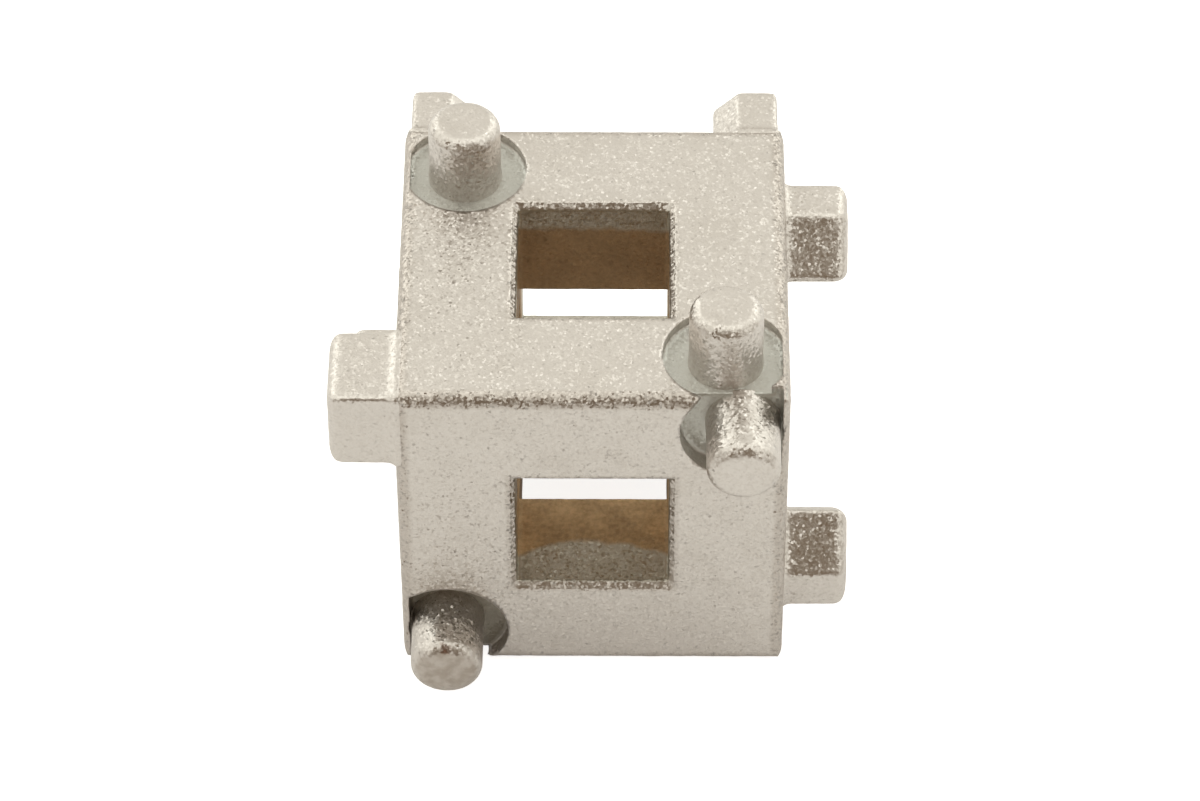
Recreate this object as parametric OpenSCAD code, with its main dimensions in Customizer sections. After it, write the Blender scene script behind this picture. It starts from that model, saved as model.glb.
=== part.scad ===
// Brake caliper piston tool: a cube-shaped drive block with square drive tunnels through
// all three axes, and studs and lugs on five faces that turn a caliper piston back into its bore.
// Millimetres. The block stands on its plain face at z = 0, with the front face towards -Y.

/* [Block] */
// Side of the cube-shaped drive block
block_side = 25; // [24:0.5:28]
// Radius along the block's outer edges
edge_radius = 0.9; // [0.4:0.1:1.1]

/* [Drive tunnels] */
// Width across the flats of the square drive tunnels
drive_square = 9.7; // [9.6:0.1:10.6]
// Chamfer around each tunnel mouth
mouth_chamfer = 0.4; // [0.2:0.05:0.6]

/* [Round studs] */
// Diameter of the round studs
stud_diameter = 4.76; // [4.2:0.02:5.2]
// Length of a round stud, from the floor of its seat to its tip
stud_length = 4.95; // [4.2:0.05:6]
// How far a stud's foot flares out on the floor of its seat
stud_foot_flare = 0.07; // [0.02:0.01:0.15]
// Radius around the tip of a round stud
stud_tip_radius = 0.9; // [0.4:0.1:1.4]
// Distance of a top stud from the drive axis, along each side
top_stud_offset = 8.4; // [8.2:0.1:8.8]
// Distance of a front stud from the drive axis, across the face
front_stud_offset_x = 9.5; // [9:0.1:9.6]
// Distance of a front stud from the drive axis, up the face
front_stud_offset_z = 9.4; // [8.8:0.1:9.5]

/* [Stud seats] */
// Diameter of the sunken seat around a round stud
seat_diameter = 7.9; // [7.2:0.1:8.2]
// Depth of a stud seat below the top face
top_seat_depth = 0.75; // [0.5:0.05:1]
// Depth of a stud seat below the front face
front_seat_depth = 1.3; // [0.9:0.05:1.4]
// Wall left between a seat and the block's nearest side
seat_rim = 0.55; // [0.4:0.05:0.7]
// Least gap between a stud's foot and the wall of its seat
foot_clearance = 0.1; // [0.05:0.01:0.15]

/* [Lugs] */
// Height of every lug above its face
projection = 4.2; // [3:0.1:5.5]

/* [Square lugs on the left face] */
// Side of a square lug
left_lug_side = 6.1; // [5:0.1:6.4]
// Distance of a square lug's outer sides inside the block's faces
left_lug_inset = 0.35; // [0.25:0.05:0.6]

/* [Bar lugs on the right face] */
// Width of a bar lug
right_lug_width = 4.3; // [3.6:0.1:4.8]
// Length of a bar lug along the face's diagonal
right_lug_length = 6.6; // [5.6:0.1:6.8]
// Distance of a bar lug's outer sides from the drive axis
right_lug_reach = 9.9; // [9.7:0.1:10.4]

/* [Prong lugs on the rear face] */
// Width of a prong lug
rear_lug_width = 3.8; // [3:0.1:4]
// Length of a prong lug along the face's diagonal
rear_lug_length = 4.5; // [4.2:0.1:5.4]
// Distance of a prong lug's outer sides inside the block's faces
rear_lug_inset = 0.35; // [0.25:0.05:0.6]

/* [Lug edges and pockets] */
// Radius along a lug's upright edges
lug_edge_radius = 0.3; // [0.2:0.05:0.6]
// Radius around the tip of a lug
lug_tip_radius = 0.85; // [0.4:0.05:1]
// Depth of the pocket that a lug is let into
pocket_depth = 0.2; // [0.1:0.05:0.25]
// Gap between a lug and the wall of its pocket
pocket_clearance = 0.05; // [0.02:0.01:0.08]

/* [Pilot spigots] */
// Diameter of the spigot under every stud and lug
pilot_diameter = 2; // [1.6:0.1:2.4]
// Length of the spigot
pilot_length = 1.2; // [0.8:0.1:1.4]
// Gap around the spigot in its hole
pilot_clearance = 0.04; // [0.02:0.01:0.08]
// Room left in the hole under the spigot
pilot_relief = 0.2; // [0.1:0.05:0.3]

/* [Hidden] */
$fn = 64;

block_colour = "#cbc5b4";
stud_colour = "#c2bcac";
lug_colour = "#c8c2b2";

// How far a cutter reaches past the surface that it opens
overcut = 1;
half_side = block_side / 2;
half_drive = drive_square / 2;

stud_radius = stud_diameter / 2;
foot_radius = stud_radius + stud_foot_flare;
top_stud_place = [top_stud_offset, top_stud_offset];
front_stud_place = [front_stud_offset_x, front_stud_offset_z];
seat_span = block_side - 2 * seat_rim;
open_span = block_side + 2 * overcut;

left_lug_high = half_side - left_lug_inset;
left_lug_low = left_lug_high - left_lug_side;
left_lug_centre = (left_lug_low + left_lug_high) / 2;
rear_lug_reach = half_side - rear_lug_inset;
// Place of a bar's spigot along its length, near the middle of its plan
bar_pilot_share = 0.6;

// Places on the block's faces. A face's corners are counted in quarter turns, anticlockwise from
// the upper right one, as the face is seen from outside

module on_top(quarter)
    translate([0, 0, block_side])
        rotate(90 * quarter)
            children();

// Stands a piece on an upright face, which the turn carries round from the front
module on_side(turn, quarter)
    translate([0, 0, half_side])
        rotate([90, 0, turn])
            translate([0, 0, half_side])
                rotate(90 * quarter)
                    children();

module on_front(quarter)
    on_side(0, quarter)
        children();

module on_right(quarter)
    on_side(90, quarter)
        children();

module on_rear(quarter)
    on_side(180, quarter)
        children();

module on_left(quarter)
    on_side(270, quarter)
        children();

// Lays a piece along a face's diagonal, measured from a corner that lies on it
module along_diagonal(reach)
    translate([reach, reach, 0])
        rotate(45)
            children();

module rounded_rectangle(low, high, radius) {
    size = high - low;
    inner = size - 2 * [radius, radius];
    translate((low + high) / 2) {
        square([size.x, inner.y], center = true);
        square([inner.x, size.y], center = true);
        for (x = [-1, 1], y = [-1, 1])
            translate([x * inner.x, y * inner.y] / 2)
                circle(radius);
    }
}

// Drive block

module rounded_prism() {
    corner = [half_side, half_side];
    linear_extrude(block_side, center = true)
        rounded_rectangle(-corner, corner, edge_radius);
}

module rounded_block()
    intersection() {
        rounded_prism();
        rotate([90, 0, 0])
            rounded_prism();
        rotate([90, 0, 90])
            rounded_prism();
    }

// Square tunnel right through the block, with a chamfer at both mouths
module drive_tunnel() {
    cube([drive_square, drive_square, open_span], center = true);
    for (end = [0, 1])
        mirror([0, 0, end])
            translate([0, 0, half_side])
                mouth_cutter();
}

module mouth_cutter() {
    flare = mouth_chamfer + overcut;
    intersection_for (turn = [0, 90])
        rotate([90, 0, turn])
            linear_extrude(2 * block_side, center = true)
                polygon([
                    [-half_drive, -mouth_chamfer],
                    [half_drive, -mouth_chamfer],
                    [half_drive + flare, overcut],
                    [-half_drive - flare, overcut]
                ]);
}

module drive_tunnels() {
    drive_tunnel();
    rotate([90, 0, 0])
        drive_tunnel();
    rotate([90, 0, 90])
        drive_tunnel();
}

// Sunken round seat with room for a stud's foot and the hole for its spigot. The span keeps a wall
// at the block's sides, which the foot's room may hollow out
module stud_seat(place, depth, span) {
    height = depth + overcut;
    intersection() {
        translate([place.x, place.y, -depth])
            cylinder(d = seat_diameter, h = height);
        cube([span.x, span.y, 2 * height], center = true);
    }
    translate([place.x, place.y, -depth]) {
        cylinder(r = foot_radius + foot_clearance, h = height);
        pilot_hole();
    }
}

// Pocket of the drawn plan, sunk into a face
module lug_pocket()
    translate([0, 0, -pocket_depth])
        linear_extrude(pocket_depth + overcut)
            children();

module left_lug_pocket() {
    lug_pocket()
        lug_plan([left_lug_low, left_lug_low], [left_lug_high, left_lug_high], pocket_clearance);
    translate([left_lug_centre, left_lug_centre, -pocket_depth])
        pilot_hole();
}

module bar_lug_pocket(reach, length, width) {
    lug_pocket()
        intersection() {
            lug_plan([0, 0], [reach, reach], pocket_clearance);
            along_diagonal(reach)
                lug_plan([-length, -width / 2], [length, width / 2], pocket_clearance);
        }
    along_diagonal(reach)
        translate([-bar_pilot_share * length, 0, -pocket_depth])
            pilot_hole();
}

module pilot_hole() {
    depth = pilot_length + pilot_relief;
    translate([0, 0, -depth])
        cylinder(d = pilot_diameter + 2 * pilot_clearance, h = depth + overcut);
}

module drive_block()
    color(block_colour)
        difference() {
            translate([0, 0, half_side])
                rounded_block();
            translate([0, 0, half_side])
                drive_tunnels();
            for (quarter = [1, 3])
                on_top(quarter)
                    stud_seat(top_stud_place, top_seat_depth, [seat_span, seat_span]);
            for (quarter = [0, 2]) {
                on_front(quarter)
                    stud_seat(front_stud_place, front_seat_depth, [seat_span, open_span]);
                on_left(quarter)
                    left_lug_pocket();
                on_right(quarter)
                    bar_lug_pocket(right_lug_reach, right_lug_length, right_lug_width);
            }
            for (quarter = [0:3])
                on_rear(quarter)
                    bar_lug_pocket(rear_lug_reach, rear_lug_length, rear_lug_width);
        }

// Studs

// Spigot that locates a stud or lug, below the plane that it stands on
module pilot_spigot()
    translate([0, 0, -pilot_length])
        cylinder(d = pilot_diameter, h = pilot_length);

// Round stud with a flared foot in its seat and a rounded tip, turned about its own axis
module round_stud(foot_height) {
    straight = stud_length - stud_tip_radius;
    flat_radius = stud_radius - stud_tip_radius;
    rotate_extrude() {
        polygon([[0, 0], [foot_radius, 0], [stud_radius, foot_height], [0, foot_height]]);
        square([stud_radius, straight]);
        square([flat_radius, stud_length]);
        translate([flat_radius, straight])
            intersection() {
                circle(stud_tip_radius);
                square(stud_tip_radius);
            }
    }
    pilot_spigot();
}

module top_stud(quarter)
    color(stud_colour)
        on_top(quarter)
            translate([top_stud_place.x, top_stud_place.y, -top_seat_depth])
                round_stud(top_seat_depth);

module front_stud(quarter)
    color(stud_colour)
        on_front(quarter)
            translate([front_stud_place.x, front_stud_place.y, -front_seat_depth])
                round_stud(front_seat_depth);

// Lugs

module lug_plan(low, high, grow)
    rounded_rectangle(low - [grow, grow], high + [grow, grow], lug_edge_radius + grow);

// Post on a rectangle, let into its pocket, with rounded upright edges and a rounded tip
module post(low, high) {
    foot = -pocket_depth - 2 * overcut;
    intersection() {
        translate([0, 0, -pocket_depth])
            linear_extrude(pocket_depth + projection + overcut)
                lug_plan(low, high, 0);
        rotate([90, 0, 0])
            linear_extrude(2 * block_side, center = true)
                rounded_rectangle([low.x, foot], [high.x, projection], lug_tip_radius);
        rotate([90, 0, 90])
            linear_extrude(2 * block_side, center = true)
                rounded_rectangle([low.y, foot], [high.y, projection], lug_tip_radius);
    }
}

// Bar along the face's diagonal, whose outer end is a right-angled corner that follows the block's sides
module bar_lug(reach, length, width) {
    intersection() {
        post([0, 0], [reach, reach]);
        along_diagonal(reach)
            post([-length, -width / 2], [length, width / 2]);
    }
    along_diagonal(reach)
        translate([-bar_pilot_share * length, 0, -pocket_depth])
            pilot_spigot();
}

module left_lug(quarter)
    color(lug_colour)
        on_left(quarter) {
            post([left_lug_low, left_lug_low], [left_lug_high, left_lug_high]);
            translate([left_lug_centre, left_lug_centre, -pocket_depth])
                pilot_spigot();
        }

module right_lug(quarter)
    color(lug_colour)
        on_right(quarter)
            bar_lug(right_lug_reach, right_lug_length, right_lug_width);

module rear_lug(quarter)
    color(lug_colour)
        on_rear(quarter)
            bar_lug(rear_lug_reach, rear_lug_length, rear_lug_width);

drive_block();
top_stud(1);  // top_stud_rear_left
top_stud(3);  // top_stud_front_right
front_stud(0);  // front_stud_upper_right
front_stud(2);  // front_stud_lower_left
left_lug(0);  // left_lug_front_top
left_lug(2);  // left_lug_rear_bottom
right_lug(0);  // right_lug_rear_top
right_lug(2);  // right_lug_front_bottom
rear_lug(0);  // rear_lug_top_left
rear_lug(3);  // rear_lug_bottom_left
rear_lug(2);  // rear_lug_bottom_right
rear_lug(1);  // rear_lug_top_right
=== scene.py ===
from math import cos, pi, radians, sin

import bmesh
import bpy
from bpy.props import FloatProperty, FloatVectorProperty, IntProperty, PointerProperty
from bpy.types import Operator, Panel, PropertyGroup
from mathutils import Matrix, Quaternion, Vector


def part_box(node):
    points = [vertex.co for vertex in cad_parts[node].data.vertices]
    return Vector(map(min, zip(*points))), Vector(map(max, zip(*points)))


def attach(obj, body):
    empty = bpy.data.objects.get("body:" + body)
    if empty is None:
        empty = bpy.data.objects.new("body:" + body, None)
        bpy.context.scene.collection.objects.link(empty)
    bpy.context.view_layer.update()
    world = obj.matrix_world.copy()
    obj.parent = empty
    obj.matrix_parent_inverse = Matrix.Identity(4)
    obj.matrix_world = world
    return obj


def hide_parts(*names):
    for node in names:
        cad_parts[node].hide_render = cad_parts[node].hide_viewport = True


bl_info = {
    "name": "Brake caliper piston tool",
    "version": (1, 0, 0),
    "blender": (4, 5, 0),
    "location": "View3D > Sidebar > Piston tool",
    "description": "Gives the piston tool its cast skin, its plate and a plain studio",
    "category": "Object",
}

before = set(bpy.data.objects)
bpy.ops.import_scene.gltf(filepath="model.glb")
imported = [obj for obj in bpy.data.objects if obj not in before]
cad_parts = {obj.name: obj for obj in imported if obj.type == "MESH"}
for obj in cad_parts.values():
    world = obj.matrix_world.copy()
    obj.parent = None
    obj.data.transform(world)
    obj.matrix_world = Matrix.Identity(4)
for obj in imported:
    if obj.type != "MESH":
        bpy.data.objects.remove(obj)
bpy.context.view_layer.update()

MM = 0.001

# Outward directions of the faces that carry studs and lugs
TOP = Vector((0.0, 0.0, 1.0))
FRONT = Vector((0.0, -1.0, 0.0))
LEFT = Vector((-1.0, 0.0, 0.0))
RIGHT = Vector((1.0, 0.0, 0.0))
REAR = Vector((0.0, 1.0, 0.0))

# Nodes of each group of like pieces
BLOCK = "drive_block"
STUDS = {
    "top_stud_rear_left": TOP,
    "top_stud_front_right": TOP,
    "front_stud_upper_right": FRONT,
    "front_stud_lower_left": FRONT,
}
LOWEST_STUD = "front_stud_lower_left"
SQUARE_LUGS = ("left_lug_front_top", "left_lug_rear_bottom")
BAR_LUGS = ("right_lug_rear_top", "right_lug_front_bottom")
PRONG_LUGS = ("rear_lug_top_left", "rear_lug_bottom_left", "rear_lug_bottom_right", "rear_lug_top_right")


class CastingSizes(PropertyGroup):
    """Sizes of the casting's skin."""

    block_depth: IntProperty(
        name="Block depth",
        description="How often the block's box is halved down to the cells of its mesh",
        default=7,
        min=1,
    )
    block_share: FloatProperty(
        name="Block share",
        description="Share of the halved box that the block fills, which sets the size of the cells",
        default=0.83,
        min=0.1,
        max=0.99,
        subtype="FACTOR",
    )
    stud_cell: FloatProperty(
        name="Stud and lug cell",
        description="Spacing of the mesh on the studs and lugs",
        default=0.12 * MM,
        unit="LENGTH",
        precision=5,
    )
    stud_passes: IntProperty(
        name="Stud passes", description="How often the studs' skin is smoothed", default=3, min=0
    )
    lug_passes: IntProperty(
        name="Lug passes", description="How often the lugs' skin is smoothed", default=30, min=0
    )
    ripple_length: FloatProperty(
        name="Ripple length",
        description="Length of the shallow ripples left by the mould",
        default=1.6 * MM,
        unit="LENGTH",
        precision=5,
    )
    ripple_depth: FloatProperty(
        name="Ripple depth",
        description="Depth of the shallow ripples, cut into the surface",
        default=0.03 * MM,
        unit="LENGTH",
        precision=5,
    )
    crinkle_length: FloatProperty(
        name="Crinkle length",
        description="Length of the finer crinkles that break up the edges",
        default=0.5 * MM,
        unit="LENGTH",
        precision=5,
    )
    crinkle_depth: FloatProperty(
        name="Crinkle depth",
        description="Depth of the finer crinkles, cut into the surface",
        default=0.035 * MM,
        unit="LENGTH",
        precision=5,
    )
    stud_crinkle: FloatProperty(
        name="Stud crinkle",
        description="Depth of the crinkles on the studs, which are smoother than the casting",
        default=0.012 * MM,
        unit="LENGTH",
        precision=5,
    )
    stud_length: FloatProperty(
        name="Stud length",
        description="Length of a stud from the floor of its seat to its tip",
        default=4.95 * MM,
        unit="LENGTH",
        precision=5,
    )
    foot_sink: FloatProperty(
        name="Foot sink",
        description="How much deeper a stud or lug reaches, so that its soft foot stays in the block",
        default=0.5 * MM,
        unit="LENGTH",
        precision=5,
    )
    rest_rise: FloatProperty(
        name="Rest rise",
        description="How much the rest face rises, so that none of the skin dips below the floor",
        default=0.06 * MM,
        unit="LENGTH",
        precision=5,
    )
    root_fillet: FloatProperty(
        name="Root fillet",
        description="Radius of the hollow fillet at a lug's root",
        default=0.3 * MM,
        unit="LENGTH",
        precision=5,
    )


class PlateFinish(PropertyGroup):
    """Colours and grain of the plated and the bare metal."""

    plate_colour: FloatVectorProperty(
        name="Plate",
        description="Colour of the warm satin plate",
        subtype="COLOR",
        size=4,
        default=(0.69, 0.648, 0.612, 1.0),
    )
    dull_colour: FloatVectorProperty(
        name="Dull grain",
        description="Colour of the duller grains and patches in the plate",
        subtype="COLOR",
        size=4,
        default=(0.57, 0.525, 0.48, 1.0),
    )
    # Painted shade: the small pits are painted dark, as the shade in their hollows
    pit_shade_colour: FloatVectorProperty(
        name="Pit",
        description="Colour of the small dark pits",
        subtype="COLOR",
        size=4,
        default=(0.23, 0.20, 0.15, 1.0),
    )
    seat_colour: FloatVectorProperty(
        name="Stud seat",
        description="Colour of the smooth grey floor of a stud's seat",
        subtype="COLOR",
        size=4,
        default=(0.58, 0.575, 0.535, 1.0),
    )
    # Painted shade: the floor of the lowest stud's seat is painted darker where shade falls in it
    shaded_seat_colour: FloatVectorProperty(
        name="Shaded seat",
        description="Colour of the floor of the lowest stud's seat, darkened as painted shade",
        subtype="COLOR",
        size=4,
        default=(0.33, 0.305, 0.26, 1.0),
    )
    # Real wear along the block's edges, and painted shade on the lowest stud's tip
    wear_and_shade_colour: FloatVectorProperty(
        name="Worn plate and tip shade",
        description="Colour of the worn edges and of the painted shade on the lowest stud's tip",
        subtype="COLOR",
        size=4,
        default=(0.42, 0.365, 0.32, 1.0),
    )
    rust_colour: FloatVectorProperty(
        name="Rust spot",
        description="Colour of the rust spot on the lowest stud's tip",
        subtype="COLOR",
        size=4,
        default=(0.20, 0.10, 0.06, 1.0),
    )
    # The bare metal's darker tone in the upright tunnel is painted shade
    shaded_bare_colour: FloatVectorProperty(
        name="Bare metal",
        description="Colour of the brown metal deep inside the upright tunnel, beyond the plate",
        subtype="COLOR",
        size=4,
        default=(0.46, 0.31, 0.175, 1.0),
    )
    # Painted shade: the tunnels' walls near their mouths are painted darker
    mouth_shade_colour: FloatVectorProperty(
        name="Mouth shade",
        description="Colour of the plate just inside the tunnels' mouths, darkened as painted shade",
        subtype="COLOR",
        size=4,
        default=(0.46, 0.43, 0.355, 1.0),
    )
    # The bare metal's paler tone in the level tunnels is painted light
    lit_bare_colour: FloatVectorProperty(
        name="Lit bare metal",
        description="Colour of the bare metal deep inside the level tunnels",
        subtype="COLOR",
        size=4,
        default=(0.72, 0.51, 0.285, 1.0),
    )
    soot_colour: FloatVectorProperty(
        name="Dark bare metal",
        description="Colour of the darker mottles in the bare metal",
        subtype="COLOR",
        size=4,
        default=(0.30, 0.20, 0.11, 1.0),
    )
    roughness: FloatProperty(
        name="Plate roughness",
        description="Roughness of the satin plate between its grains",
        default=0.36,
        min=0.0,
        max=1.0,
        subtype="FACTOR",
    )
    bare_roughness: FloatProperty(
        name="Bare roughness",
        description="Roughness of the bare metal",
        default=0.55,
        min=0.0,
        max=1.0,
        subtype="FACTOR",
    )
    grain_size: FloatProperty(
        name="Grain",
        description="Size of the cast grain under the plate",
        default=0.15 * MM,
        unit="LENGTH",
        precision=5,
    )
    grain_depth: FloatProperty(
        name="Grain depth",
        description="Depth of the cast grain",
        default=0.02 * MM,
        unit="LENGTH",
        precision=5,
    )
    grain_tilt: FloatProperty(
        name="Grain tilt",
        description="How far the steepest grains lean away from the surface",
        default=0.28,
        min=0.0,
    )
    stud_tilt: FloatProperty(
        name="Stud tilt",
        description="How far the steepest grains of the studs lean",
        default=0.36,
        min=0.0,
    )
    lug_tilt: FloatProperty(
        name="Lug tilt",
        description="How far the steepest grains of the lugs lean",
        default=0.27,
        min=0.0,
    )
    tip_tilt: FloatProperty(
        name="Tip tilt",
        description="How far the steepest grains lean on the flat tips of the studs",
        default=0.22,
        min=0.0,
    )
    edge_tilt: FloatProperty(
        name="Edge tilt",
        description="How much steeper the grains lean along the block's edges",
        default=2.0,
        min=0.0,
    )
    edge_wear: FloatProperty(
        name="Edge wear",
        description="Share of the worn colour along the block's edges",
        default=0.45,
        min=0.0,
        max=1.0,
        subtype="FACTOR",
    )
    seat_metal: FloatProperty(
        name="Seat metal",
        description="How metallic the dull machined seats look",
        default=0.5,
        min=0.0,
        max=1.0,
        subtype="FACTOR",
    )
    seat_grain: FloatProperty(
        name="Seat grain",
        description="Share of the grain that is left on the machined seats and tunnels",
        default=0.75,
        min=0.0,
        max=1.0,
        subtype="FACTOR",
    )
    patch_length: FloatProperty(
        name="Patch length",
        description="Length of the faint dull patches",
        default=3.0 * MM,
        unit="LENGTH",
        precision=5,
    )
    pit_spacing: FloatProperty(
        name="Pit spacing",
        description="Distance between the small dark pits",
        default=1.4 * MM,
        unit="LENGTH",
        precision=5,
    )
    pit_radius: FloatProperty(
        name="Pit radius",
        description="Radius of a small dark pit",
        default=0.07 * MM,
        unit="LENGTH",
        precision=5,
    )
    upright_reach: FloatProperty(
        name="Upright reach",
        description="How far the plate reaches down the upright tunnel",
        default=2.1 * MM,
        unit="LENGTH",
        precision=5,
    )
    level_reach: FloatProperty(
        name="Level reach",
        description="How far the plate reaches into a level tunnel, half way between its walls",
        default=3.9 * MM,
        unit="LENGTH",
        precision=5,
    )
    level_arch: FloatProperty(
        name="Level arch",
        description="How much less far the plate reaches along a level tunnel's corners",
        default=1.3 * MM,
        unit="LENGTH",
        precision=5,
    )
    tunnel_width: FloatProperty(
        name="Tunnel width",
        description="Width of the drive tunnels",
        default=9.7 * MM,
        unit="LENGTH",
        precision=5,
    )
    seat_diameter: FloatProperty(
        name="Seat diameter",
        description="Diameter of a stud's seat",
        default=7.9 * MM,
        unit="LENGTH",
        precision=5,
    )


class StudioSetup(PropertyGroup):
    """Floor, lamps and camera of the studio."""

    floor_colour: FloatVectorProperty(
        name="Floor",
        description="Colour of the plain floor",
        subtype="COLOR",
        size=4,
        default=(0.85, 0.85, 0.85, 1.0),
    )
    floor_size: FloatProperty(
        name="Floor size", description="Side of the square floor", default=6.0, unit="LENGTH"
    )
    floor_glow: FloatProperty(
        name="Floor glow",
        description="Brightness that the camera sees on the floor, apart from the lamps",
        default=0.8,
        min=0.0,
    )
    floor_shine: FloatProperty(
        name="Floor shine",
        description="Brightness that the metal sees on the floor, apart from the lamps",
        default=0.13,
        min=0.0,
    )
    room_colour: FloatVectorProperty(
        name="Room",
        description="Colour of the dim room around the studio",
        subtype="COLOR",
        size=4,
        default=(0.17, 0.11, 0.06, 1.0),
    )
    lamp_colour: FloatVectorProperty(
        name="Lamps",
        description="Colour of the soft boxes",
        subtype="COLOR",
        size=3,
        default=(0.955, 1.0, 0.95),
    )
    rear_light: FloatProperty(
        name="Rear soft box",
        description="Brightness of the large soft box behind the tool",
        default=0.77,
        min=0.0,
    )
    side_light: FloatProperty(
        name="Side soft boxes",
        description="Brightness of the soft boxes to the left and right",
        default=1.15,
        min=0.0,
    )
    front_light: FloatProperty(
        name="Front soft boxes",
        description="Brightness of the soft boxes beside the camera",
        default=1.15,
        min=0.0,
    )
    overhead_light: FloatProperty(
        name="Overhead soft box",
        description="Brightness of the soft box above the tool",
        default=1.0,
        min=0.0,
    )
    lens: FloatProperty(
        name="Lens",
        description="Focal length of the camera in millimetres",
        default=147.876,
        unit="CAMERA",
    )
    distance: FloatProperty(
        name="Distance",
        description="Distance of the camera from the block's centre",
        default=324.768 * MM,
        unit="LENGTH",
    )
    azimuth: FloatProperty(
        name="Azimuth",
        description="Turn of the camera to the right of the front",
        default=radians(0.546),
        subtype="ANGLE",
    )
    elevation: FloatProperty(
        name="Elevation",
        description="Angle of the camera above the floor",
        default=radians(46.269),
        subtype="ANGLE",
    )
    roll: FloatProperty(
        name="Roll",
        description="Turn of the camera about its own line of sight",
        default=radians(-0.133),
        subtype="ANGLE",
    )
    aim_right: FloatProperty(
        name="Aim to the right",
        description="How far to the right of the block's centre the camera aims",
        default=0.414 * MM,
        unit="LENGTH",
        precision=5,
    )
    aim_up: FloatProperty(
        name="Aim up",
        description="How far above the block's centre the camera aims, across its line of sight",
        default=-0.42 * MM,
        unit="LENGTH",
        precision=5,
    )


def node_box(node_name):
    """Lowest and highest corners of a node, as vectors."""
    low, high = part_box(node_name)
    return Vector(low), Vector(high)


def outermost(node_name, out):
    """How far out a node reaches."""
    low, high = node_box(node_name)
    return max(low.dot(out), high.dot(out))


def add_node(tree, kind, inputs, **options):
    """Adds a shader node, sets its options and fills its sockets with numbers or other sockets."""
    made = tree.nodes.new(kind)
    for option, value in options.items():
        setattr(made, option, value)
    for key, value in inputs.items():
        if isinstance(value, bpy.types.NodeSocket):
            tree.links.new(value, made.inputs[key])
        else:
            made.inputs[key].default_value = value
    return made


def maths(tree, operation, first, second=0.0):
    """One step of arithmetic on a shader value."""
    return add_node(tree, "ShaderNodeMath", {0: first, 1: second}, operation=operation).outputs[0]


def vector_maths(tree, operation, first, second=(0.0, 0.0, 0.0), third=(0.0, 0.0, 0.0), output="Vector"):
    """One step of arithmetic on a shader vector."""
    inputs = {0: first, 1: second, 2: third}
    return add_node(tree, "ShaderNodeVectorMath", inputs, operation=operation).outputs[output]


def scaled(tree, vector, factor):
    """A shader vector times a number."""
    inputs = {0: vector, "Scale": factor}
    return add_node(tree, "ShaderNodeVectorMath", inputs, operation="SCALE").outputs["Vector"]


def ease(tree, value, low, high, to_low=0.0, to_high=1.0):
    """Carries a value smoothly from one range to another, and holds it beyond both ends."""
    inputs = {"Value": value, "From Min": low, "From Max": high, "To Min": to_low, "To Max": to_high}
    made = add_node(tree, "ShaderNodeMapRange", inputs, interpolation_type="SMOOTHSTEP")
    return made.outputs["Result"]


def noise(tree, place, length, detail=2.0):
    """Soft noise with features of about the given length."""
    inputs = {"Vector": place, "Scale": 1.0 / length, "Detail": detail}
    return add_node(tree, "ShaderNodeTexNoise", inputs).outputs["Fac"]


# A mix node has sockets for each kind of value under the same names, so they are given by number
def blend(tree, share, first, second):
    """Mixes two colours."""
    inputs = {0: share, 6: first, 7: second}
    return add_node(tree, "ShaderNodeMix", inputs, data_type="RGBA").outputs[2]


def mix_values(tree, share, first, second):
    """Mixes two numbers."""
    inputs = {0: share, 2: first, 3: second}
    return add_node(tree, "ShaderNodeMix", inputs, data_type="FLOAT").outputs[0]


def new_material(name):
    """An empty node material."""
    material = bpy.data.materials.new(name)
    material.use_nodes = True
    material.node_tree.nodes.clear()
    return material, material.node_tree


def surface_place(tree):
    """The place on the surface that a material's patterns read."""
    return add_node(tree, "ShaderNodeTexCoord", {}).outputs["Object"]


# Detail of the dull patches, the levels of noise between which they fade in, and their strongest share
PATCH_DETAIL = 4.0
PATCH_BAND = (0.45, 0.75)
PATCH_SHARE = 0.25
# Share of the grains that are dull, and the strongest share of the dull colour on them
DULL_GRAINS = 0.5
DULL_SHARE = 0.25
# Detail of the grain's height, and how much rougher or smoother than the plate a grain can be
GRAIN_DETAIL = 3.0
ROUGHNESS_SPREAD = 0.05


def plated_skin(tree, place, finish, tilt):
    """The plated cast surface: its colour, its roughness, the height of its grain and each grain's lean."""
    cells = {"Vector": place, "Scale": 1.0 / finish.grain_size}
    grain = add_node(tree, "ShaderNodeTexVoronoi", cells).outputs["Color"]
    chance = add_node(tree, "ShaderNodeSeparateColor", {0: grain}).outputs[0]
    # A grain's colour, from 0 to 1, becomes a lean from -1 to 1
    side = vector_maths(tree, "MULTIPLY_ADD", grain, (2.0, 2.0, 2.0), third=(-1.0, -1.0, -1.0))
    # Cubing the lean leaves most grains nearly level and a few steep ones, which sparkle
    steep = vector_maths(tree, "MULTIPLY", vector_maths(tree, "MULTIPLY", side, side), side)
    lean = scaled(tree, steep, tilt)

    clouds = noise(tree, place, finish.patch_length, PATCH_DETAIL)
    patch = ease(tree, clouds, *PATCH_BAND, 0.0, PATCH_SHARE)
    dull = maths(tree, "ADD", patch, ease(tree, chance, 0.0, DULL_GRAINS, DULL_SHARE, 0.0))
    colour = blend(tree, dull, tuple(finish.plate_colour), tuple(finish.dull_colour))

    dots = {"Vector": place, "Scale": 1.0 / finish.pit_spacing}
    away = add_node(tree, "ShaderNodeTexVoronoi", dots).outputs["Distance"]
    pit = ease(tree, away, 0.0, finish.pit_radius / finish.pit_spacing, 1.0, 0.0)
    # Painted shade: the pits, which are also cut in as bumps, are painted dark
    colour = blend(tree, pit, colour, tuple(finish.pit_shade_colour))

    roughest = finish.roughness + ROUGHNESS_SPREAD
    smoothest = finish.roughness - ROUGHNESS_SPREAD
    rough = ease(tree, chance, 0.0, 1.0, roughest, smoothest)
    height = maths(tree, "SUBTRACT", noise(tree, place, finish.grain_size, GRAIN_DETAIL), pit)
    return colour, rough, height, lean


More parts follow.
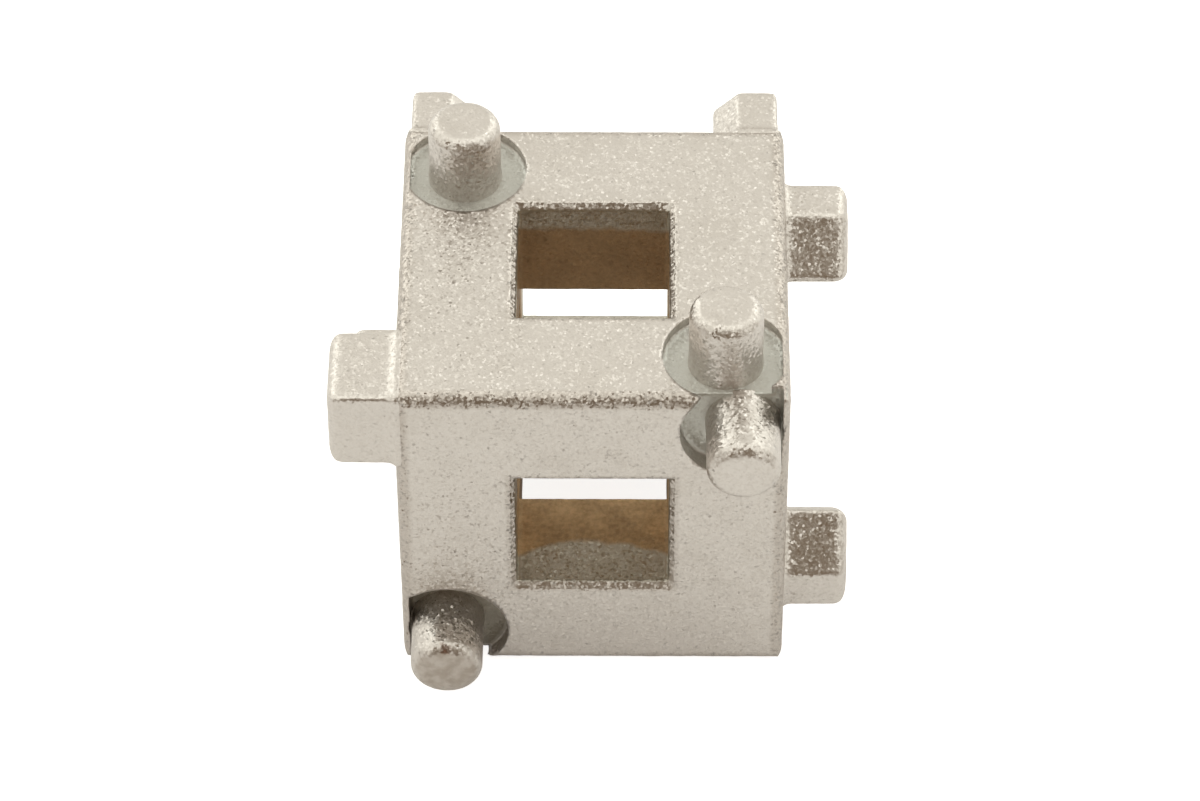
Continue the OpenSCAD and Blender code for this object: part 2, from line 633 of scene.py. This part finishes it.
def finish_metal(tree, colour, rough, height, lean, depth, metallic=1.0):
    """Puts the metal shader together from its sockets."""
    bump = add_node(tree, "ShaderNodeBump", {"Height": height, "Distance": depth})
    normal = vector_maths(tree, "ADD", bump.outputs["Normal"], lean)
    normal = vector_maths(tree, "NORMALIZE", normal)
    inputs = {"Base Color": colour, "Metallic": metallic, "Roughness": rough, "Normal": normal}
    shader = add_node(tree, "ShaderNodeBsdfPrincipled", inputs)
    add_node(tree, "ShaderNodeOutputMaterial", {"Surface": shader.outputs["BSDF"]})


def plated_metal(name, finish):
    """Satin plate over cast grain."""
    material, tree = new_material(name)
    colour, rough, height, lean = plated_skin(tree, surface_place(tree), finish, finish.lug_tilt)
    finish_metal(tree, colour, rough, height, lean, finish.grain_depth)
    return material


# How far under a stud's end its flat tip fades in
TIP_FADE = (0.2 * MM, 0.1 * MM)
# Wander of the outlines of the painted shade on the lowest stud's tip and of the rust spot
WANDER_LENGTH = 0.4 * MM
WANDER_REACH = 0.5 * MM
# Radii between which the painted shade on the lowest stud's tip fades out, and the levels of noise and the
# shares of its mottles
TIP_SHADE_RADII = (2.0 * MM, 2.5 * MM)
TIP_SHADE_LENGTH = 0.9 * MM
TIP_SHADE_DETAIL = 4.0
TIP_SHADE_BAND = (0.35, 0.65)
TIP_SHADE_SHARES = (0.55, 1.0)
# Place of the rust spot behind the tip and below the stud's upper side
RUST_BACK = 0.45 * MM
RUST_DROP = 0.55 * MM
RUST_RADII = (0.45 * MM, 0.75 * MM)
RUST_SHARE = 0.9


def stud_metal(name, finish):
    """The studs' plate, with painted shade on the lowest stud's tip and a spot of rust on that stud."""
    material, tree = new_material(name)
    place = surface_place(tree)
    flat = 0.0
    for stud_name, out in STUDS.items():
        height = vector_maths(tree, "DOT_PRODUCT", place, tuple(out), output="Value")
        tip_level = outermost(stud_name, out)
        start, full = (tip_level - depth for depth in TIP_FADE)
        flat = maths(tree, "MAXIMUM", ease(tree, height, start, full), flat)
    tilt = mix_values(tree, flat, finish.stud_tilt, finish.tip_tilt)
    colour, rough, height, lean = plated_skin(tree, place, finish, tilt)

    low, high = node_box(LOWEST_STUD)
    wander = maths(tree, "MULTIPLY", noise(tree, place, WANDER_LENGTH), WANDER_REACH)
    tip = Vector(((low.x + high.x) / 2, low.y, (low.z + high.z) / 2))
    away = vector_maths(tree, "DISTANCE", place, tuple(tip), output="Value")
    # Painted shade: the lowest stud's tip is painted darker, in the mask named worn
    worn = ease(tree, maths(tree, "ADD", away, wander), *TIP_SHADE_RADII, 1.0, 0.0)
    mottle = ease(tree, noise(tree, place, TIP_SHADE_LENGTH, TIP_SHADE_DETAIL), *TIP_SHADE_BAND, *TIP_SHADE_SHARES)
    worn = maths(tree, "MULTIPLY", worn, mottle)
    colour = blend(tree, worn, colour, tuple(finish.wear_and_shade_colour))

    spot = Vector((tip.x, low.y + RUST_BACK, high.z - RUST_DROP))
    away = vector_maths(tree, "DISTANCE", place, tuple(spot), output="Value")
    rust = ease(tree, maths(tree, "ADD", away, wander), *RUST_RADII, RUST_SHARE, 0.0)
    colour = blend(tree, rust, colour, tuple(finish.rust_colour))
    finish_metal(tree, colour, rough, height, lean, finish.grain_depth)
    return material


# How far beyond its walls a tunnel's finish fades out
TUNNEL_FADE = 0.15 * MM
# How far beyond a tunnel's walls the ring round its mouth fades out, and its share of the edges' wear
RING_FADE = (0.55 * MM, 0.8 * MM)
RING_SHARE = 0.5
# How far from the block's edges their worn band fades in
EDGE_FADE = (1.1 * MM, 0.6 * MM)
# Wander and softness of the line where the plate ends in a tunnel
PLATE_END_LENGTH = 1.8 * MM
PLATE_END_DETAIL = 4.0
PLATE_END_REACH = 1.2 * MM
PLATE_END_FADE = 0.3 * MM
# How far under the block's faces its inner surfaces start
INNER_FADE = (0.35 * MM, 0.2 * MM)


def block_zones(tree, place, finish):
    """Where the block's edges, tunnels, bare tunnel walls, upright tunnel and inner surfaces are."""
    low, high = node_box(BLOCK)
    half_side = (high.x - low.x) / 2
    half_tunnel = finish.tunnel_width / 2
    lengths = vector_maths(tree, "SUBTRACT", place, tuple((low + high) / 2))
    lengths = vector_maths(tree, "ABSOLUTE", lengths)
    x, y, z = add_node(tree, "ShaderNodeSeparateXYZ", {0: lengths}).outputs
    level = maths(tree, "MAXIMUM", x, y)
    along = maths(tree, "MAXIMUM", level, z)
    upright = maths(tree, "GREATER_THAN", z, level)
    across = maths(tree, "MINIMUM", maths(tree, "MINIMUM", x, y), z)
    total = maths(tree, "ADD", maths(tree, "ADD", x, y), z)
    middle = maths(tree, "SUBTRACT", maths(tree, "SUBTRACT", total, along), across)
    tunnel = ease(tree, middle, half_tunnel, half_tunnel + TUNNEL_FADE, 1.0, 0.0)
    start, end = (half_tunnel + away for away in RING_FADE)
    mouth = ease(tree, middle, start, end, 1.0, 0.0)
    start, full = (half_side - away for away in EDGE_FADE)
    corner = ease(tree, middle, start, full)
    ring = maths(tree, "MULTIPLY", maths(tree, "SUBTRACT", mouth, tunnel), RING_SHARE)
    edge_zone = maths(tree, "ADD", corner, ring)

    across = maths(tree, "MINIMUM", maths(tree, "DIVIDE", across, half_tunnel), 1.0)
    arch = maths(tree, "MULTIPLY", maths(tree, "POWER", across, 2.0), finish.level_arch)
    level_edge = maths(tree, "ADD", arch, half_side - finish.level_reach)
    edge = mix_values(tree, upright, level_edge, half_side - finish.upright_reach)
    # The noise lies about 0.5, so that the line wanders to both sides
    wander = maths(tree, "SUBTRACT", noise(tree, place, PLATE_END_LENGTH, PLATE_END_DETAIL), 0.5)
    depth = maths(tree, "SUBTRACT", edge, along)
    depth = maths(tree, "ADD", depth, maths(tree, "MULTIPLY", wander, PLATE_END_REACH))
    bare = ease(tree, depth, -PLATE_END_FADE, PLATE_END_FADE)
    start, end = (half_side - away for away in INNER_FADE)
    inner = ease(tree, along, start, end, 1.0, 0.0)
    return edge_zone, tunnel, bare, upright, inner


# How far beyond a seat's wall its finish fades out
SEAT_WALL_FADE = (-0.05 * MM, 0.1 * MM)
# Heights over the block's face between which a seat's finish fades out upward, and fades in from below
SEAT_TOP_FADE = (-0.55 * MM, -0.3 * MM)
SEAT_BOTTOM_FADE = (-1.8 * MM, -1.5 * MM)


def seat_share(tree, place, stud_name, out, finish):
    """1 on the floor of a stud's seat, and 0 beyond it."""
    low, high = node_box(stud_name)
    block_low, block_high = node_box(BLOCK)
    block_centre = (block_low + block_high) / 2
    half_side = (block_high.x - block_low.x) / 2
    centre = (low + high) / 2
    face_point = centre + out * (half_side - (centre - block_centre).dot(out))

    offset = vector_maths(tree, "SUBTRACT", place, tuple(face_point))
    height = vector_maths(tree, "DOT_PRODUCT", offset, tuple(out), output="Value")
    flat = vector_maths(tree, "SUBTRACT", offset, scaled(tree, tuple(out), height))
    radius = vector_maths(tree, "LENGTH", flat, output="Value")
    start, end = (finish.seat_diameter / 2 + away for away in SEAT_WALL_FADE)
    inside = ease(tree, radius, start, end, 1.0, 0.0)
    sunken = ease(tree, height, *SEAT_TOP_FADE, 1.0, 0.0)
    shallow = ease(tree, height, *SEAT_BOTTOM_FADE)
    return maths(tree, "MULTIPLY", inside, maths(tree, "MULTIPLY", sunken, shallow))


# Length, detail, levels of noise and strongest share of the dark mottles and specks in the bare metal
MOTTLE_LENGTH = 2.2 * MM
MOTTLE_DETAIL = 6.0
MOTTLE_BAND = (0.35, 0.65)
SPECK_LENGTH = 0.3 * MM
SPECK_DETAIL = 3.0
SPECK_BAND = (0.3, 0.7)
DARK_SHARE = 0.35
# How metallic the bare metal looks
BARE_METAL = 0.3


def block_metal(name, finish):
    """The block's plate, smooth and grey in the stud seats and bare brown deep inside the tunnels; the
    lowest stud's seat, the tunnels' walls near their mouths and the upright tunnel's bare metal are painted
    darker as painted shade, and the level tunnels' bare metal paler as painted light.
    """
    material, tree = new_material(name)
    place = surface_place(tree)
    edge_zone, tunnel, bare, upright, inner = block_zones(tree, place, finish)
    tilt = mix_values(tree, edge_zone, finish.grain_tilt, finish.grain_tilt * finish.edge_tilt)
    colour, rough, height, lean = plated_skin(tree, place, finish, tilt)
    wear = maths(tree, "MULTIPLY", edge_zone, finish.edge_wear)
    colour = blend(tree, wear, colour, tuple(finish.wear_and_shade_colour))

    seat = 0.0
    for stud_name, out in STUDS.items():
        share = maths(tree, "MULTIPLY", seat_share(tree, place, stud_name, out, finish), inner)
        # The lowest stud's seat floor gets the darker colour, which is painted shade
        floor_colour = finish.shaded_seat_colour if stud_name == LOWEST_STUD else finish.seat_colour
        colour = blend(tree, share, colour, tuple(floor_colour))
        seat = maths(tree, "MAXIMUM", share, seat)
    grain = mix_values(tree, maths(tree, "MAXIMUM", seat, tunnel), 1.0, finish.seat_grain)
    height = maths(tree, "MULTIPLY", height, grain)
    lean = scaled(tree, lean, grain)

    # Painted shade: the tunnels' walls, up to where the bare metal starts, are painted darker
    colour = blend(tree, tunnel, colour, tuple(finish.mouth_shade_colour))
    mottles = noise(tree, place, MOTTLE_LENGTH, MOTTLE_DETAIL)
    mottles = ease(tree, mottles, *MOTTLE_BAND, 0.0, DARK_SHARE)
    specks = noise(tree, place, SPECK_LENGTH, SPECK_DETAIL)
    specks = ease(tree, specks, *SPECK_BAND, 0.0, DARK_SHARE)
    # One bare brown metal in two tones: darker in the upright tunnel as painted shade, paler in the level
    # tunnels as painted light
    brown = blend(tree, upright, tuple(finish.lit_bare_colour), tuple(finish.shaded_bare_colour))
    brown = blend(tree, maths(tree, "ADD", mottles, specks), brown, tuple(finish.soot_colour))
    colour = blend(tree, bare, colour, brown)
    rough = mix_values(tree, bare, rough, finish.bare_roughness)
    metallic = mix_values(tree, seat, 1.0, finish.seat_metal)
    metallic = mix_values(tree, bare, metallic, BARE_METAL)
    finish_metal(tree, colour, rough, height, lean, finish.grain_depth, metallic)
    return material


# Above 1, so that the whole skin sinks a little and none of it stands out of the solid
SINK_LEVEL = 1.3


def sink(piece, name, length, depth):
    """Cuts ripples into a piece, never out of its surface."""
    texture = bpy.data.textures.new(f"{piece.name}_{name}", "CLOUDS")
    texture.noise_scale = length
    ripples = piece.modifiers.new(name, "DISPLACE")
    ripples.texture = texture
    ripples.texture_coords = "LOCAL"
    ripples.strength = depth
    ripples.mid_level = SINK_LEVEL


# Points of a solid that lie closer than this are one
MERGE_DISTANCE = 0.0005 * MM


def merged_copy(node_name):
    """A copy of a node's solid, with its points merged."""
    form = bmesh.new()
    form.from_mesh(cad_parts[node_name].data)
    bmesh.ops.remove_doubles(form, verts=form.verts, dist=MERGE_DISTANCE)
    return form


def sink_foot(form, out, level, depth):
    """Moves everything below the level against the outward direction."""
    foot = [vertex for vertex in form.verts if vertex.co.dot(out) < level]
    bmesh.ops.translate(form, verts=foot, vec=-depth * out)


# Heights of the cuts that shape a root's fillet, as shares of its radius
FILLET_CUTS = (0.0, 0.15, 0.4, 1.0)


def fill_root(form, out, radius):
    """Spreads the root of a lug into a hollow fillet."""
    level = outermost(BLOCK, out)
    for share in FILLET_CUTS:
        everything = form.verts[:] + form.edges[:] + form.faces[:]
        cut = (level + share * radius) * out
        bmesh.ops.bisect_plane(form, geom=everything, plane_co=cut, plane_no=out)
    form.normal_update()
    spreads = []
    for vertex in form.verts:
        rise = min(max((vertex.co.dot(out) - level) / radius, 0.0), 1.0)
        spread = radius * (1.0 - (1.0 - (1.0 - rise) ** 2) ** 0.5)
        aside = vertex.normal - vertex.normal.dot(out) * out
        spreads.append(aside * spread)
    for vertex, step in zip(form.verts, spreads):
        vertex.co += step


def new_piece(form, node_name, material):
    """Makes an object of a form and puts it into the scene."""
    mesh = bpy.data.meshes.new(f"{node_name}_cast")
    form.to_mesh(mesh)
    form.free()
    mesh.materials.clear()
    mesh.materials.append(material)

    piece = bpy.data.objects.new(f"{node_name}_cast", mesh)
    bpy.context.scene.collection.objects.link(piece)
    return piece


# 1 keeps the corners as sharp as the solid's
CORNER_SHARPNESS = 1.0
# Share of the way to its neighbours' middle that each point moves in a smoothing pass
SMOOTHING = 0.5


def crisp_skin(piece, depth, share):
    """Covers a piece with fine cells that keep its corners."""
    skin = piece.modifiers.new("skin", "REMESH")
    skin.mode = "SHARP"
    skin.octree_depth = depth
    skin.scale = share
    skin.sharpness = CORNER_SHARPNESS
    skin.use_remove_disconnected = False
    skin.use_smooth_shade = True


def soft_skin(piece, cell, passes):
    """Covers a piece with fine cells and rounds its edges off."""
    skin = piece.modifiers.new("skin", "REMESH")
    skin.mode = "VOXEL"
    skin.voxel_size = cell
    skin.use_smooth_shade = True
    soften = piece.modifiers.new("soften", "SMOOTH")
    soften.factor = SMOOTHING
    soften.iterations = passes


def cast_piece(piece, node_name, crinkle, sizes):
    """Gives a piece the shallow ripples of a casting, in place of its node."""
    sink(piece, "ripples", sizes.ripple_length, sizes.ripple_depth)
    sink(piece, "crinkles", sizes.crinkle_length, crinkle)

    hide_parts(node_name)
    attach(piece, "root")


# Margins that keep the points to be moved apart from the ones that stay
LUG_FOOT_MARGIN = 0.1 * MM
STUD_FOOT_MARGIN = 0.02 * MM
REST_FACE_MARGIN = 0.01 * MM


def cast_lugs(context, node_names, out, metal_name):
    """Dresses the lugs of one face."""
    sizes = context.scene.piston_tool_casting
    metal = plated_metal(metal_name, context.scene.piston_tool_finish)
    for node_name in node_names:
        form = merged_copy(node_name)
        sink_foot(form, out, outermost(BLOCK, out) - LUG_FOOT_MARGIN, sizes.foot_sink)
        fill_root(form, out, sizes.root_fillet)
        piece = new_piece(form, node_name, metal)
        soft_skin(piece, sizes.stud_cell, sizes.lug_passes)
        cast_piece(piece, node_name, sizes.crinkle_depth, sizes)


class PISTONTOOL_OT_drive_block(Operator):
    """Dress the drive block with its cast skin and its plate"""

    bl_idname = "piston_tool.drive_block"
    bl_label = "Drive block"

    def execute(self, context):
        sizes = context.scene.piston_tool_casting
        metal = block_metal("plated block", context.scene.piston_tool_finish)
        form = merged_copy(BLOCK)
        rest_level = node_box(BLOCK)[0].z
        sink_foot(form, TOP, rest_level + REST_FACE_MARGIN, -sizes.rest_rise)
        piece = new_piece(form, BLOCK, metal)
        crisp_skin(piece, sizes.block_depth, sizes.block_share)
        cast_piece(piece, BLOCK, sizes.crinkle_depth, sizes)
        return {"FINISHED"}


class PISTONTOOL_OT_round_studs(Operator):
    """Dress the round studs on the top and front faces"""

    bl_idname = "piston_tool.round_studs"
    bl_label = "Round studs"

    def execute(self, context):
        sizes = context.scene.piston_tool_casting
        metal = stud_metal("plated studs", context.scene.piston_tool_finish)
        for node_name, out in STUDS.items():
            form = merged_copy(node_name)
            seat_floor = outermost(node_name, out) - sizes.stud_length
            sink_foot(form, out, seat_floor + STUD_FOOT_MARGIN, sizes.foot_sink)
            piece = new_piece(form, node_name, metal)
            soft_skin(piece, sizes.stud_cell, sizes.stud_passes)
            cast_piece(piece, node_name, sizes.stud_crinkle, sizes)
        return {"FINISHED"}


class PISTONTOOL_OT_square_lugs(Operator):
    """Dress the square lugs on the left face"""

    bl_idname = "piston_tool.square_lugs"
    bl_label = "Square lugs"

    def execute(self, context):
        cast_lugs(context, SQUARE_LUGS, LEFT, "plated square lugs")
        return {"FINISHED"}


class PISTONTOOL_OT_bar_lugs(Operator):
    """Dress the bar lugs on the right face"""

    bl_idname = "piston_tool.bar_lugs"
    bl_label = "Bar lugs"

    def execute(self, context):
        cast_lugs(context, BAR_LUGS, RIGHT, "plated bar lugs")
        return {"FINISHED"}


class PISTONTOOL_OT_prong_lugs(Operator):
    """Dress the prong lugs on the rear face"""

    bl_idname = "piston_tool.prong_lugs"
    bl_label = "Prong lugs"

    def execute(self, context):
        cast_lugs(context, PRONG_LUGS, REAR, "plated prong lugs")
        return {"FINISHED"}


def floor_paint(studio):
    """Plain pale paint that keeps the shadow, and that the camera and the metal see as near white."""
    material, tree = new_material("pale floor")
    path = add_node(tree, "ShaderNodeLightPath", {}).outputs
    mirrored = maths(tree, "MAXIMUM", path["Is Glossy Ray"], path["Is Transmission Ray"])
    mirrored = maths(tree, "MULTIPLY", mirrored, studio.floor_shine)
    seen = maths(tree, "MULTIPLY", path["Is Camera Ray"], studio.floor_glow)
    glow = add_node(tree, "ShaderNodeEmission", {"Strength": maths(tree, "ADD", seen, mirrored)})
    paint = add_node(tree, "ShaderNodeBsdfDiffuse", {"Color": tuple(studio.floor_colour)})
    both = {0: paint.outputs["BSDF"], 1: glow.outputs["Emission"]}
    added = add_node(tree, "ShaderNodeAddShader", both)
    add_node(tree, "ShaderNodeOutputMaterial", {"Surface": added.outputs["Shader"]})
    return material


# Place, width, height and brightness setting of each soft box, in metres
SOFT_BOXES = {
    "rear soft box": ((0.0, 0.46, 0.46), 1.2, 1.25, "rear_light"),
    "overhead soft box": ((0.0, -0.03, 0.7), 0.9, 0.5, "overhead_light"),
    "front left box": ((-0.55, -0.33, 0.45), 0.55, 0.6, "front_light"),
    "front right box": ((0.55, -0.33, 0.45), 0.55, 0.6, "front_light"),
    "left soft box": ((-0.5, 0.3, 0.26), 0.7, 0.5, "side_light"),
    "right soft box": ((0.5, 0.3, 0.26), 0.7, 0.5, "side_light"),
}
# Nearest distance that the camera shows
CLIP_START = 10.0 * MM


def soft_box(name, place, aim, width, height, brightness, colour):
    """A rectangular lamp that faces the tool, with the given brightness of its surface."""
    lamp = bpy.data.lights.new(name, "AREA")
    lamp.color = colour
    lamp.shape = "RECTANGLE"
    lamp.size = width
    lamp.size_y = height
    lamp.energy = brightness * width * height * pi
    box = bpy.data.objects.new(name, lamp)
    box.location = place
    box.rotation_euler = (aim - place).to_track_quat("-Z", "Y").to_euler()
    bpy.context.scene.collection.objects.link(box)


def studio_camera(studio, centre):
    """The camera at the photograph's viewing angle."""
    out = Vector(
        (
            sin(studio.azimuth) * cos(studio.elevation),
            -cos(studio.azimuth) * cos(studio.elevation),
            sin(studio.elevation),
        )
    )
    roll = Quaternion(TOP, studio.roll)
    place = centre + out * studio.distance
    across = ((-out).to_track_quat("-Z", "Y") @ roll) @ Vector((studio.aim_right, studio.aim_up, 0.0))
    lens = bpy.data.cameras.new("camera")
    lens.lens = studio.lens
    lens.clip_start = CLIP_START
    camera = bpy.data.objects.new("camera", lens)
    camera.location = place
    camera.rotation_euler = ((centre + across - place).to_track_quat("-Z", "Y") @ roll).to_euler()
    bpy.context.scene.collection.objects.link(camera)
    bpy.context.scene.camera = camera


class PISTONTOOL_OT_stage(Operator):
    """Set up the floor, the lamps, the dim room and the camera"""

    bl_idname = "piston_tool.stage"
    bl_label = "Stage"

    def execute(self, context):
        studio = context.scene.piston_tool_studio
        low, high = node_box(BLOCK)
        centre = (low + high) / 2

        sheet = bmesh.new()
        bmesh.ops.create_grid(sheet, x_segments=1, y_segments=1, size=studio.floor_size / 2)
        mesh = bpy.data.meshes.new("floor")
        sheet.to_mesh(mesh)
        sheet.free()
        mesh.materials.append(floor_paint(studio))
        floor = bpy.data.objects.new("floor", mesh)
        context.scene.collection.objects.link(floor)

        for name, (place, width, height, light) in SOFT_BOXES.items():
            brightness = getattr(studio, light)
            soft_box(name, Vector(place), centre, width, height, brightness, studio.lamp_colour)

        room = bpy.data.worlds.new("room")
        room.use_nodes = True
        room.node_tree.nodes["Background"].inputs["Color"].default_value = tuple(studio.room_colour)
        context.scene.world = room
        studio_camera(studio, centre)
        context.scene.view_settings.view_transform = "Standard"
        return {"FINISHED"}


class PISTONTOOL_PT_sidebar(Panel):
    """Lists the tool's pieces and its settings"""

    bl_idname = "PISTONTOOL_PT_sidebar"
    bl_label = "Brake caliper piston tool"
    bl_space_type = "VIEW_3D"
    bl_region_type = "UI"
    bl_category = "Piston tool"

    def draw(self, context):
        for group in GROUPS:
            settings = getattr(context.scene, group)
            box = self.layout.box()
            for name in settings.__annotations__:
                box.prop(settings, name)
        for operator in OPERATORS:
            self.layout.operator(operator.bl_idname)


GROUPS = {
    "piston_tool_casting": CastingSizes,
    "piston_tool_finish": PlateFinish,
    "piston_tool_studio": StudioSetup,
}
OPERATORS = (
    PISTONTOOL_OT_drive_block,
    PISTONTOOL_OT_round_studs,
    PISTONTOOL_OT_square_lugs,
    PISTONTOOL_OT_bar_lugs,
    PISTONTOOL_OT_prong_lugs,
    PISTONTOOL_OT_stage,
)


def register():
    for name, group in GROUPS.items():
        bpy.utils.register_class(group)
        setattr(bpy.types.Scene, name, PointerProperty(type=group))
    for operator in OPERATORS:
        bpy.utils.register_class(operator)
    bpy.utils.register_class(PISTONTOOL_PT_sidebar)


def unregister():
    bpy.utils.unregister_class(PISTONTOOL_PT_sidebar)
    for operator in reversed(OPERATORS):
        bpy.utils.unregister_class(operator)
    for name, group in reversed(GROUPS.items()):
        delattr(bpy.types.Scene, name)
        bpy.utils.unregister_class(group)


def main():
    register()
    bpy.ops.piston_tool.drive_block()
    bpy.ops.piston_tool.round_studs()
    bpy.ops.piston_tool.square_lugs()
    bpy.ops.piston_tool.bar_lugs()
    bpy.ops.piston_tool.prong_lugs()
    bpy.ops.piston_tool.stage()


if __name__ == "__main__":
    main()
